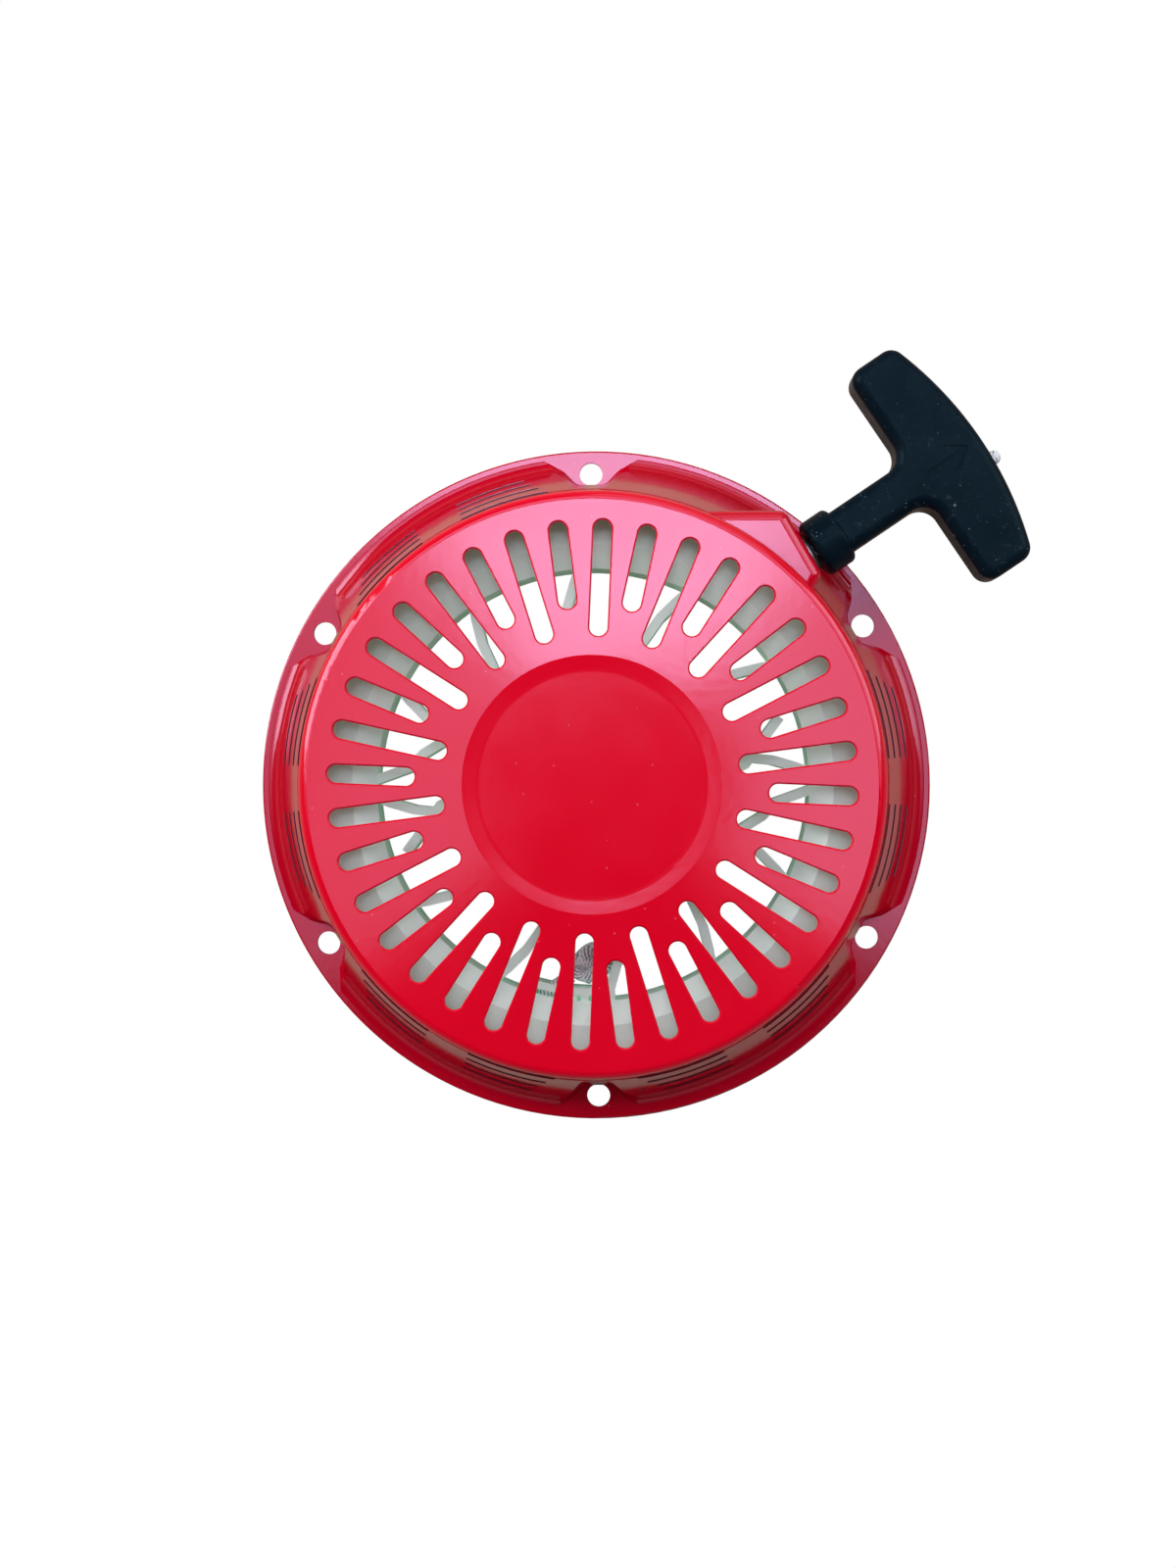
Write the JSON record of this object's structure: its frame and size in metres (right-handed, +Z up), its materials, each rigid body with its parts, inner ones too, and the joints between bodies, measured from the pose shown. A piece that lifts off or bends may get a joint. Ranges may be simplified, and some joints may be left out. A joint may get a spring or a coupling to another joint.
{
  "type": "recoil starter",
  "caption": "Pull-cord recoil starter for a small engine: slotted round steel cover, cord reel with spiral spring, ratchet pawls and a T-grip.",
  "frame": {"origin": "centre of the flange's underside, which is the mounting face", "axes": "+Z up along the reel's axis through the dome; the rope leaves towards +X and +Y"},
  "size_m": [0.2551, 0.2544, 0.056],
  "materials": {
    "case_paint": "gloss",
    "steel": "satin",
    "zinc": "satin",
    "spring_steel": "satin",
    "pawl_steel": "matt",
    "nylon": "satin",
    "rope": "braided",
    "grip_plastic": "satin"
  },
  "bodies": {
    "case": {"case": "case_paint", "outlet_guide": "steel", "centre_post": "zinc", "centre_screw": "zinc", "thrust_washer": "zinc", "rope_lead": "rope"},
    "reel": {"reel_rim": "nylon", "reel_spokes": "nylon", "reel_hub": "nylon", "recoil_spring": "spring_steel", "rope_windings": "rope", "rope_anchor": "rope", "reel_knot": "rope", "pawl_spring_a": "spring_steel", "pawl_spring_b": "spring_steel"},
    "grip": {"grip": "grip_plastic", "rope_in_grip": "rope", "knot_washer": "zinc", "grip_knot": "rope", "rope_tail": "rope"},
    "guide": {"ratchet_guide": "zinc", "friction_spring": "spring_steel"},
    "pawl_a": {"pawl_a": "pawl_steel"},
    "pawl_b": {"pawl_b": "pawl_steel"}
  },
  "joints": [
    {"name": "reel_spin", "type": "hinge", "parent": "case", "child": "reel", "pos_m": [0, 0, 0], "axis": [0, 0, -1], "range_deg": [0, 920], "stiffness_Nm_per_rad": 0.027, "springref_deg": -1077.16, "deforming": ["recoil_spring"]},
    {"name": "grip_pull", "type": "slide", "parent": "case", "child": "grip", "axis": [0.829, 0.5592, 0], "range_m": [0, 1.2593], "deforming": ["rope_lead"]},
    {"name": "pawl_swing_a", "type": "hinge", "parent": "reel", "child": "pawl_a", "pos_m": [0.03, 0, 0.02], "axis": [0, 0, 1], "range_deg": [0, 25], "stiffness_Nm_per_rad": 0.0005, "springref_deg": -17.19, "deforming": ["pawl_spring_a"]},
    {"name": "pawl_swing_b", "type": "hinge", "parent": "reel", "child": "pawl_b", "pos_m": [-0.03, 0, 0.02], "axis": [0, 0, 1], "range_deg": [0, 25], "deforming": ["pawl_spring_b"]},
    {"name": "guide_turn", "type": "hinge", "parent": "reel", "child": "guide", "pos_m": [0, 0, 0.016], "axis": [0, 0, 1], "range_deg": [0, 21]}
  ],
  "couplings": [
    {"joint": "grip_pull", "follows": "reel_spin", "m_per_rad": 0.0783},
    {"joint": "pawl_swing_b", "follows": "pawl_swing_a", "ratio": 1},
    {"joint": "guide_turn", "follows": "pawl_swing_a", "ratio": 0.8}
  ]
}
